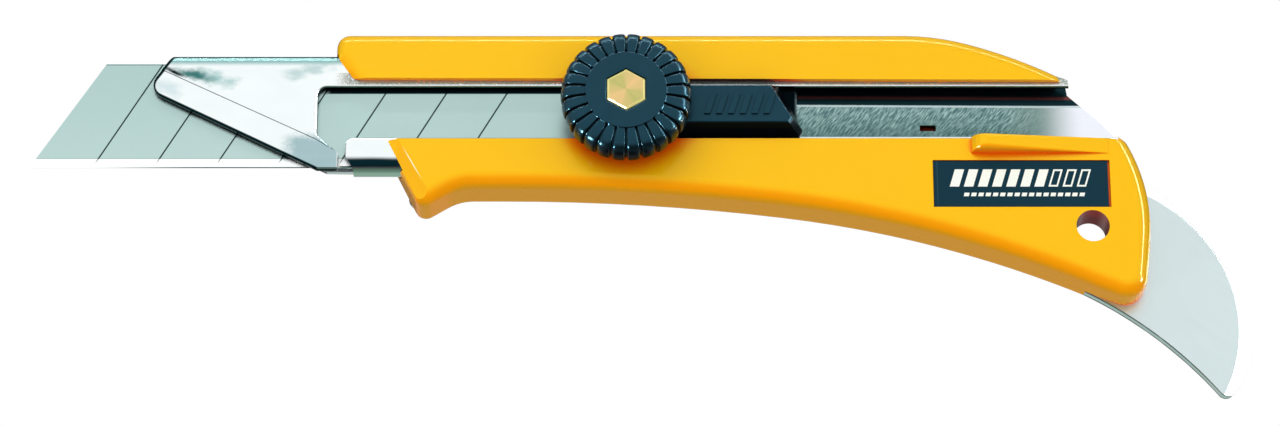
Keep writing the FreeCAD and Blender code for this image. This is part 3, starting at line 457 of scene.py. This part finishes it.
    # Painted shade on the cut edges and in covered corners.
    cut = shader.mask(shader.math("ABSOLUTE", shader.facing("Y")), 0.35, 0.15)
    flat = shader.mask(shader.math("ABSOLUTE", shader.facing("X")), 0.1, 0.3)
    inner = shader.mask(shader.y, -1.35, -0.9)
    outer = shader.mask(shader.math("ABSOLUTE", shader.z), 9.2, 8.8)
    cut = shader.times(cut, shader.math("MAXIMUM", flat, shader.times(inner, outer)))
    colour = shader.blend(cut, colour, srgb(8, 34, 36))
    corner = shader.mask(shader.near(2.6), 0.5, 0.78)
    colour = shader.blend(corner, colour, srgb(18, 40, 45))

    rough = shader.math("ADD", shader.spread(lines, 0.13, 0.2),
                        shader.times(shader.mask(up, 0.05, 0.3), 0.5))
    shader.look(Base_Color=colour, Metallic=shader.spread(speckle, 1.0, 0.25),
                Roughness=shader.math("ADD", rough, shader.times(inside, 0.1)))
    groove = shader.times(scratch, worn, inside)
    wave = shader.noise((0.1, 0.1, 0.16), detail=2.0)
    relief = shader.math("ADD", shader.times(lines, 0.05), shader.times(groove, 0.35))
    shader.bump(shader.math("ADD", relief, shader.times(wave, 0.5)), 0.02, 0.35)
    return shader.material


def blade_steel():
    """Ground blade steel with an oily teal cast, dark score lines, a painted white highlight on the edge
    grind and painted shade under the channel's lip and flap.
    """
    shader = Shader("blade_steel")
    low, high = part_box("snap_blade")
    edge = (low[2] - AXIS.z) / MM
    point = (low[0] - AXIS.x) / MM
    grind = edge + GRIND
    grain = shader.noise((9.0, 1.0, 0.12), turn=30.5, detail=4.0)
    cloud = shader.noise((0.07, 0.07, 0.12), detail=3.0)
    height = shader.spread(shader.z, 0.0, 1.0, grind, 9.0)
    face = shader.blend(height, srgb(184, 208, 204), srgb(172, 198, 196))
    face = shader.blend(shader.spread(cloud, 0.0, 0.3), face, srgb(194, 214, 210))
    face = shader.blend(shader.spread(grain, 0.0, 0.14), face, srgb(148, 176, 174))
    line = shader.math("MAXIMUM", shader.band(shader.z, grind - 0.05, grind + 0.1, 0.08),
                       shader.mask(shader.z, 8.55, 8.66))
    face = shader.blend(shader.times(line, 0.6), face, srgb(104, 132, 132))

    # Score lines: the distance past the first one, along the blade, turns over at each segment.
    rise = shader.times(shader.math("SUBTRACT", shader.z, edge), 1 / math.tan(SCORE_ANGLE))
    past = shader.math("SUBTRACT", shader.math("SUBTRACT", shader.x, rise), point + FIRST_SEGMENT)
    nearest = shader.math("ABSOLUTE", shader.math("WRAP", past, SEGMENT / 2, -SEGMENT / 2))
    scored = shader.times(shader.mask(nearest, 0.2, 0.1), shader.mask(past, -1.0, -0.5),
                          shader.mask(past, 6.5 * SEGMENT, 6.4 * SEGMENT), shader.mask(shader.y, 0.1, 0.0))
    face = shader.blend(shader.times(scored, 0.85), face, srgb(16, 50, 54))
    # Painted highlight: the edge grind is painted white.
    face = shader.blend(shader.mask(shader.z, grind + 0.03, grind - 0.05), face, srgb(254, 255, 255))
    shadow = shader.times(shader.mask(shader.z, edge + 0.2, edge + 0.1),
                         shader.mask(shader.x, -88.0, -68.0))
    face = shader.blend(shadow, face, srgb(40, 62, 66))

    # Shade from the channel's lip and flap stays with them when the blade slides.
    still_x, still_z = shader.still()
    shade = shader.times(shader.mask(still_z, 3.55, 3.72), shader.mask(still_x, -49.0, -47.6))
    covered = shader.mask(shader.near(1.25, lean=1.2), 0.44, 0.5)
    face = shader.blend(shader.math("MAXIMUM", shade, covered), face, srgb(4, 20, 24))
    shader.look(Base_Color=face, Metallic=1.0, Roughness=shader.spread(grain, 0.26, 0.36))
    shader.bump(grain, 0.004, 0.3)
    return shader.material


def pick_steel():
    """Satin ground plate, with a painted highlight on the bevel round its tip and painted reflections on
    its cut edges that face down, dark along their corners.
    """
    shader = Shader("pick_steel")
    low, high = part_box("tail_pick")
    near_face = low[1] / MM
    far_face = high[1] / MM
    lines = shader.noise((0.08, 2.0, 6.0), turn=38.0, detail=4.0)
    cloud = shader.noise((0.08, 0.08, 0.08), detail=3.0)
    face = shader.blend(cloud, srgb(194, 206, 207), srgb(204, 214, 215))
    # Painted highlight: the bevel round the tip is painted near-white.
    bevel = shader.mask(shader.y, 3.54, 3.7)
    face = shader.blend(bevel, face, srgb(250, 252, 252))
    # Painted reflection: faces turned down are painted pale teal, and dark near the plate's two faces
    # wherever the noise lets it.
    under = shader.mask(shader.times(shader.facing("Z"), -1.0), 0.45, 0.7)
    broken = shader.spread(shader.noise((0.35, 0.35, 0.35), detail=4.0), 0.55, 1.0, 0.35, 0.5)
    ends = shader.math("MAXIMUM", shader.mask(shader.y, near_face + 0.7, near_face + 0.4),
                       shader.mask(shader.y, far_face - 0.5, far_face - 0.3))
    side = shader.blend(shader.times(ends, broken), srgb(176, 206, 196), srgb(8, 24, 26))
    face = shader.blend(under, face, side)
    shader.look(Base_Color=face, Metallic=1.0, Roughness=shader.spread(lines, 0.26, 0.38))
    shader.bump(lines, 0.006, 0.25)
    return shader.material


def brass():
    """A faced end of brass bar: rings from the lathe tool, a painted fan of the light they catch and a
    painted highlight on the edge all round."""
    shader = Shader("brass")
    turn = shader.math("ARCTAN2", shader.z, shader.x)
    fan = shader.math("SINE", shader.times(turn, 2.0))
    fine = shader.math("SINE", shader.math("MULTIPLY_ADD", turn, 9.0, 0.4))
    light = shader.math("ADD", shader.times(fan, 0.4), shader.times(fine, 0.08))
    radius = shader.math("SQRT", shader.math("ADD", shader.times(shader.x, shader.x),
                                             shader.times(shader.z, shader.z)))
    rings = shader.math("SINE", shader.times(radius, 30.0))
    half = shader.times(shader.x, 0.5)
    tall = shader.times(shader.z, math.sqrt(3) / 2)
    flats = shader.math("MAXIMUM", shader.math("ABSOLUTE", shader.math("ADD", half, tall)),
                        shader.math("ABSOLUTE", shader.math("SUBTRACT", half, tall)))
    flats = shader.math("MAXIMUM", flats, shader.math("ABSOLUTE", shader.x))
    # Painted highlight: a bright band along the nut's six edges.
    rim = shader.mask(flats, 2.66, 2.78)
    # Painted light: the fan of light from the lathe rings is painted into the colour.
    fanned = shader.spread(light, 0.0, 1.0, -0.45, 0.45)
    colour = shader.blend(fanned, srgb(190, 184, 112), srgb(232, 194, 134))
    colour = shader.blend(shader.times(rim, 0.9), colour, srgb(255, 246, 160))
    shader.look(Base_Color=colour, Metallic=shader.spread(rim, 1.0, 0.15), Roughness=0.3)
    shader.bump(rings, 0.01, 0.25)
    return shader.material


def fastener_steel():
    """Zinc-plated steel with a cloudy, slightly yellowish bloom, and painted shade where it is covered."""
    shader = Shader("fastener_steel")
    cloud = shader.noise((0.5, 0.5, 0.5), detail=5.0)
    turned = shader.noise((5.0, 5.0, 5.0), detail=3.0)
    colour = shader.blend(cloud, srgb(176, 180, 184), srgb(206, 204, 192))
    # Painted shade: dark where other surfaces are near.
    covered = shader.mask(shader.near(3.0), 0.3, 0.55)
    shader.look(Base_Color=shader.blend(covered, colour, srgb(14, 22, 24)), Metallic=1.0,
                Roughness=shader.spread(turned, 0.28, 0.45))
    shader.bump(turned, 0.01, 0.25)
    return shader.material


def plate_steel():
    """Plain rolled sheet inside the channel, painted grey for the shade it lies in and darker where it is
    covered.
    """
    shader = Shader("plate_steel")
    lines = shader.noise((0.1, 3.0, 6.0), detail=4.0)
    cloud = shader.noise((0.4, 0.4, 0.4), detail=4.0)
    # Painted shade: grey all over, and dark where other surfaces are near.
    covered = shader.mask(shader.near(2.0), 0.1, 0.4)
    colour = shader.blend(cloud, srgb(118, 136, 136), srgb(142, 158, 156))
    shader.look(Base_Color=shader.blend(covered, colour, srgb(20, 38, 42)), Metallic=1.0,
                Roughness=shader.spread(lines, 0.24, 0.36))
    shader.bump(lines, 0.008, 0.25)
    return shader.material


# ---------------------------------------------------------------- pieces made here

def new_piece(name, corners, faces, material, smooth=False):
    """A mesh piece from corners in metres."""
    mesh = bpy.data.meshes.new(name)
    mesh.from_pydata(corners, [], faces)
    mesh.validate()
    mesh.materials.append(material)
    for face in mesh.polygons:
        face.use_smooth = smooth
    piece = bpy.data.objects.new(name, mesh)
    bpy.context.scene.collection.objects.link(piece)
    return piece


RIBS = 26
# The wheel's socket for the nut: half its width across the flats, its back, the nut's face in it,
# and the step and the rounding outside that face.
NUT_FLAT = 3.01
SOCKET_BACK = -5.45
NUT_FACE = -10.3
LEDGE = 0.16
LEDGE_ROUND = 0.08
DISC_RADIUS = 4.3
WHEEL_FACE = -10.9
SHARP_ANGLE = math.radians(38)
# The wheel's section as (radius, y, groove depth there), from the disc over the rim to the back.
WHEEL_SECTION = (
    (5.6, -10.90, 0.0),
    (6.3, -10.90, 0.0),
    (6.45, -10.88, 0.0),
    (6.55, -10.80, 0.2),
    (6.62, -10.74, 0.9),
    (6.95, -10.74, 0.95),
    (7.15, -10.72, 0.6),
    (7.6, -10.67, 0.5),
    (8.2, -10.58, 0.52),
    (8.9, -10.46, 0.6),
    (9.45, -10.26, 0.65),
    (9.88, -9.92, 0.65),
    (10.2, -9.42, 0.6),
    (10.4, -8.8, 0.6),
    (10.48, -8.1, 0.6),
    (10.48, -7.3, 0.6),
    (10.44, -6.6, 0.55),
    (10.28, -6.05, 0.55),
    (10.0, -5.5, 0.5),
    (9.6, -5.1, 0.45),
    (9.1, -4.92, 0.35),
    (8.6, -4.9, 0.2),
    (8.1, -4.9, 0.0),
    (6.35, -4.9, 0.0),
    (6.2, -4.95, 0.0),
    (6.2, -5.45, 0.0),
)
# Steps across half a rib, as shares of its pitch from the groove's middle, and the groove's
# depth there on the face and on the side.
RIB_STEPS = (
    (0.0, 1.0, 1.0),
    (0.04, 1.0, 0.95),
    (0.07, 0.75, 0.75),
    (0.095, 0.16, 0.36),
    (0.13, 0.05, 0.18),
    (0.2, 0.01, 0.07),
    (0.32, 0.0, 0.01),
    (0.5, 0.0, 0.0),
)


def hexagon_radius(turn, flat):
    """Distance from the axis to a hexagon's side; its corners point up and down."""
    sixth = math.pi / 3
    return flat / math.cos(turn % sixth - sixth / 2)


def rib_depths(turn):
    """The groove's depths on the face and on the side at an angle round the wheel."""
    share = abs((turn * RIBS / (2 * math.pi) + 0.5) % 1.0 - 0.5)
    for near, far in zip(RIB_STEPS, RIB_STEPS[1:]):
        if share <= far[0]:
            part = (share - near[0]) / (far[0] - near[0])
            return tuple(near[index] + (far[index] - near[index]) * part for index in (1, 2))
    return RIB_STEPS[-1][1:]


def wheel_turns():
    """Every angle round the wheel at which it is drawn: the rib steps and the socket's corners."""
    pitch = 2 * math.pi / RIBS
    steps = [rib * pitch + side * share * pitch for rib in range(RIBS)
             for share, face, wall in RIB_STEPS for side in (-1, 1)]
    corners = [corner * math.pi / 3 for corner in range(6)]
    return sorted({round(turn % (2 * math.pi), 6) for turn in steps + corners})


def wheel_rows(turn):
    """The wheel's section at one angle: (radius, y) all the way round, from the socket."""
    face, side = rib_depths(turn)
    socket = hexagon_radius(turn, NUT_FLAT)
    ledge = hexagon_radius(turn, NUT_FLAT + LEDGE)
    mouth = hexagon_radius(turn, NUT_FLAT + LEDGE + LEDGE_ROUND)
    rows = [(socket, SOCKET_BACK), (socket, NUT_FACE), (ledge, NUT_FACE),
            (ledge, WHEEL_FACE + 0.06), (mouth, WHEEL_FACE), (DISC_RADIUS, WHEEL_FACE)]
    count = len(WHEEL_SECTION)
    for index, (radius, depth, groove) in enumerate(WHEEL_SECTION):
        before = WHEEL_SECTION[max(index - 1, 0)]
        beyond = WHEEL_SECTION[min(index + 1, count - 1)]
        along = Vector((beyond[0] - before[0], beyond[1] - before[1])).normalized()
        outwards = Vector((along.y, -along.x))
        sideways = abs(outwards.x)
        cut = groove * (face * (1 - sideways) + side * sideways)
        rows.append((radius - outwards.x * cut, depth - outwards.y * cut))
    return rows


def ribbed_wheel(material):
    """The moulded wheel with its rounded ribs, drawn angle by angle."""
    turns = wheel_turns()
    corners = []
    for turn in turns:
        for radius, depth in wheel_rows(turn):
            corners.append(at(radius * math.sin(turn), depth, radius * math.cos(turn)))
    rows = len(corners) // len(turns)
    faces = []
    for column in range(len(turns)):
        across = (column + 1) % len(turns)
        for row in range(rows):
            beyond = (row + 1) % rows
            faces.append((column * rows + row, across * rows + row,
                          across * rows + beyond, column * rows + beyond))
    wheel = new_piece("ribbed_wheel", corners, faces, material, smooth=True)
    wheel.data.set_sharp_from_angle(angle=SHARP_ANGLE)
    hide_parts("lock_wheel")
    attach(wheel, "wheel")


INK_THICK = 0.03
INK_SUNK = 0.005
# The row of bars: its start, the bars' pitch, width, line width, foot, top and lean, and how many
# are solid and hollow. Then the dashes: their start, pitch, length, foot, top, lean and number.
BAR_START, BAR_PITCH, BAR_WIDE, BAR_STROKE = 51.6, 2.25, 1.5, 0.28
BAR_LOW, BAR_HIGH, BAR_LEAN = -13.3, -10.35, 0.9
SOLID_BARS, HOLLOW_BARS = 7, 3
DASH_START, DASH_PITCH, DASH_LONG = 53.8, 1.15, 0.8
DASH_LOW, DASH_HIGH, DASH_LEAN = -14.95, -14.35, 0.15
DASHES = 17


def slanted_bar(corners, faces, left, right, low, high, lean):
    """Add one leaning bar of ink, as a thin closed plate."""
    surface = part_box("label_plate")[0][1] / MM
    first = len(corners)
    for depth in (surface + INK_SUNK, surface - INK_THICK):
        for x, z in ((left, low), (right, low), (right + lean, high), (left + lean, high)):
            corners.append(at(x, depth, z))
    faces.append(tuple(first + corner for corner in (3, 2, 1, 0)))
    faces.append(tuple(first + corner for corner in (4, 5, 6, 7)))
    for corner in range(4):
        beyond = (corner + 1) % 4
        faces.append((first + corner, first + beyond, first + 4 + beyond, first + 4 + corner))


def label_marks(material):
    """A plain row of leaning bars, solid and then hollow, over a fine dashed line."""
    corners, faces = [], []
    tilt = BAR_LEAN / (BAR_HIGH - BAR_LOW)
    for bar in range(SOLID_BARS):
        left = BAR_START + bar * BAR_PITCH
        slanted_bar(corners, faces, left, left + BAR_WIDE, BAR_LOW, BAR_HIGH, BAR_LEAN)
    for bar in range(SOLID_BARS, SOLID_BARS + HOLLOW_BARS):
        left = BAR_START + bar * BAR_PITCH
        right = left + BAR_WIDE
        slanted_bar(corners, faces, left, left + BAR_STROKE, BAR_LOW, BAR_HIGH, BAR_LEAN)
        slanted_bar(corners, faces, right - BAR_STROKE, right, BAR_LOW, BAR_HIGH, BAR_LEAN)
        for foot in (BAR_LOW, BAR_HIGH - BAR_STROKE):
            shift = (foot - BAR_LOW) * tilt
            slanted_bar(corners, faces, left + BAR_STROKE + shift, right - BAR_STROKE + shift,
                        foot, foot + BAR_STROKE, BAR_STROKE * tilt)
    for dash in range(DASHES):
        left = DASH_START + dash * DASH_PITCH
        slanted_bar(corners, faces, left, left + DASH_LONG, DASH_LOW, DASH_HIGH, DASH_LEAN)
    marks = new_piece("label_marks", corners, faces, material)
    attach(marks, "handle")


# ---------------------------------------------------------------- light, floor and camera

CAMERA_DISTANCE = 0.63
CAMERA_BELOW = math.radians(21.0)
FOCAL_LENGTH = 110.8
SENSOR_WIDTH = 36.0
AIM = at(2.2, 0.55, -16.66)


def add_camera(target):
    """Look at the knife's front from a little below, square to its length."""
    data = bpy.data.cameras.new("camera")
    data.lens = FOCAL_LENGTH
    data.sensor_width = SENSOR_WIDTH
    data.clip_start = 0.01
    camera = bpy.data.objects.new("camera", data)
    bpy.context.scene.collection.objects.link(camera)
    ahead = Vector((0, math.cos(CAMERA_BELOW), math.sin(CAMERA_BELOW)))
    camera.location = target - ahead * CAMERA_DISTANCE
    camera.rotation_euler = ahead.to_track_quat("-Z", "Y").to_euler()
    bpy.context.scene.camera = camera


def add_light(name, place, target, size, power, colour, mirrored):
    """A rectangular lamp that faces the target. A mirrored one shows only as a highlight, and
    any other one gives only soft light."""
    data = bpy.data.lights.new(name, "AREA")
    data.shape = "RECTANGLE"
    data.size, data.size_y = size
    data.energy = power
    data.color = colour
    light = bpy.data.objects.new(name, data)
    bpy.context.scene.collection.objects.link(light)
    light.location = target + Vector(place)
    light.rotation_euler = (target - light.location).to_track_quat("-Z", "Y").to_euler()
    light.visible_glossy = mirrored
    light.visible_diffuse = not mirrored


# The studio round the knife, as seen along its length: the angle in degrees above the front
# horizon, turning up over the top, and the brightness from there.
STUDIO = (
    (-180, 0.62),
    (-158, 0.66),
    (-135, 0.60),
    (-112, 0.45),
    (-90, 0.35),
    (-62, 0.22),
    (-42, 0.30),
    (-22, 0.80),
    (0, 1.00),
    (22, 1.02),
    (36, 0.95),
    (50, 0.55),
    (66, 0.48),
    (84, 0.50),
    (100, 0.45),
    (122, 0.16),
    (140, 0.08),
    (160, 0.08),
    (172, 0.30),
    (180, 0.62),
)
STUDIO_TOP = 2.0
WHITE = (1.0, 1.0, 1.0)
# Lamps: name, place from the knife's middle, size, power, colour, and whether it is mirrored.
LAMPS = (
    ("front", (-0.2, -0.62, 0.5), (0.7, 0.5), 2.6, WHITE, False),
    ("below", (0.0, -0.35, -0.62), (0.9, 0.4), 2.0, (1.0, 0.84, 0.5), False),
    ("behind", (0.1, 0.6, 0.35), (0.8, 0.5), 1.0, WHITE, False),
    ("strip_above", (0.0, -0.28, 0.62), (1.5, 0.03), 6.0, WHITE, True),
    ("strip_right", (0.6, -0.36, 0.26), (0.03, 0.5), 5.0, WHITE, True),
    ("glint_left", (-0.54, -0.18, -0.42), (0.09, 0.09), 14.0, WHITE, True),
    ("glint_right", (0.66, -0.19, -0.08), (0.07, 0.12), 5.0, WHITE, True),
)
STUDIO_TINT = (0.965, 1.0, 1.0, 1)


def add_world():
    """The studio's bands of light; the camera itself sees plain white."""
    world = bpy.data.worlds.new("world")
    bpy.context.scene.world = world
    world.use_nodes = True
    tree = world.node_tree
    tree.nodes.clear()

    def node(kind, **settings):
        made = tree.nodes.new(kind)
        for prop, setting in settings.items():
            setattr(made, prop, setting)
        return made

    axes = node("ShaderNodeSeparateXYZ")
    tree.links.new(node("ShaderNodeTexCoord").outputs["Generated"], axes.inputs[0])
    front = node("ShaderNodeMath", operation="MULTIPLY")
    front.inputs[1].default_value = -1.0
    tree.links.new(axes.outputs["Y"], front.inputs[0])
    turn = node("ShaderNodeMath", operation="ARCTAN2")
    tree.links.new(axes.outputs["Z"], turn.inputs[0])
    tree.links.new(front.outputs[0], turn.inputs[1])
    share = node("ShaderNodeMapRange")
    share.inputs["From Min"].default_value = -math.pi
    share.inputs["From Max"].default_value = math.pi
    tree.links.new(turn.outputs[0], share.inputs["Value"])
    ramp = node("ShaderNodeFloatCurve")
    curve = ramp.mapping.curves[0]
    for index, (angle, bright) in enumerate(STUDIO):
        spot = ((angle + 180) / 360, bright / STUDIO_TOP)
        if index in (0, len(STUDIO) - 1):
            curve.points[0 if index == 0 else -1].location = spot
        else:
            curve.points.new(*spot)
    ramp.mapping.update()
    tree.links.new(share.outputs["Result"], ramp.inputs["Value"])
    gain = node("ShaderNodeMath", operation="MULTIPLY")
    gain.inputs[1].default_value = STUDIO_TOP
    tree.links.new(ramp.outputs[0], gain.inputs[0])
    lit = node("ShaderNodeBackground")
    lit.inputs["Color"].default_value = STUDIO_TINT
    tree.links.new(gain.outputs[0], lit.inputs["Strength"])
    seen = node("ShaderNodeBackground")
    seen.inputs["Color"].default_value = (1, 1, 1, 1)
    mix = node("ShaderNodeMixShader")
    tree.links.new(node("ShaderNodeLightPath").outputs["Is Camera Ray"], mix.inputs["Fac"])
    tree.links.new(lit.outputs[0], mix.inputs[1])
    tree.links.new(seen.outputs[0], mix.inputs[2])
    tree.links.new(mix.outputs[0], node("ShaderNodeOutputWorld").inputs["Surface"])


FLOOR_GAP = 0.0005
FLOOR_SIDE = 1.2
FLOOR_GRAIN = 900.0
FLOOR_DARK, FLOOR_PALE = 0.84, 0.88


def add_floor(low, middle):
    """A pale floor just under the knife. It can be seen from above and looked through from below,
    and only the camera meets it, so that it doesn't change the light on the knife."""
    material = bpy.data.materials.new("floor")
    material.use_nodes = True
    tree = material.node_tree
    pale = tree.nodes["Principled BSDF"]
    noise = tree.nodes.new("ShaderNodeTexNoise")
    noise.inputs["Scale"].default_value = FLOOR_GRAIN
    tint = tree.nodes.new("ShaderNodeMapRange")
    tint.inputs["To Min"].default_value = FLOOR_DARK
    tint.inputs["To Max"].default_value = FLOOR_PALE
    tree.links.new(noise.outputs["Fac"], tint.inputs["Value"])
    tree.links.new(tint.outputs["Result"], pale.inputs["Base Color"])
    pale.inputs["Roughness"].default_value = 0.9
    clear = tree.nodes.new("ShaderNodeBsdfTransparent")
    below = tree.nodes.new("ShaderNodeNewGeometry")
    mix = tree.nodes.new("ShaderNodeMixShader")
    tree.links.new(below.outputs["Backfacing"], mix.inputs["Fac"])
    tree.links.new(pale.outputs["BSDF"], mix.inputs[1])
    tree.links.new(clear.outputs["BSDF"], mix.inputs[2])
    tree.links.new(mix.outputs["Shader"], tree.nodes["Material Output"].inputs["Surface"])
    half = FLOOR_SIDE / 2
    height = low.z - FLOOR_GAP
    corners = [(middle.x + x * half, middle.y + y * half, height)
               for x, y in ((-1, -1), (1, -1), (1, 1), (-1, 1))]
    floor = new_piece("floor", corners, [(0, 1, 2, 3)], material)
    for kind in ("visible_diffuse", "visible_glossy", "visible_transmission", "visible_shadow"):
        setattr(floor, kind, False)


yellow = yellow_plastic()
black = black_plastic()
zinc = fastener_steel()
paint("front_grip", yellow)
paint("back_cover", yellow)
paint("lock_wheel", black)
paint("slider_block", black)
paint("label_plate", label_plastic())
paint("blade_channel", channel_steel())
paint("carrier_plate", plate_steel())
paint("snap_blade", blade_steel())
paint("tail_pick", pick_steel())
paint("wheel_nut", brass())
for name in ("carrier_stud", "thrust_washer", "pick_pins", "cover_screws"):
    paint(name, zinc)
ribbed_wheel(black)
label_marks(label_ink())

middle = centre_of(cad_bounds)
add_world()
add_floor(Vector(cad_bounds[0]), middle)
add_camera(AIM)
for name, place, size, power, colour, mirrored in LAMPS:
    add_light(name, place, middle, size, power, colour, mirrored)
bpy.context.scene.view_settings.view_transform = "Standard"
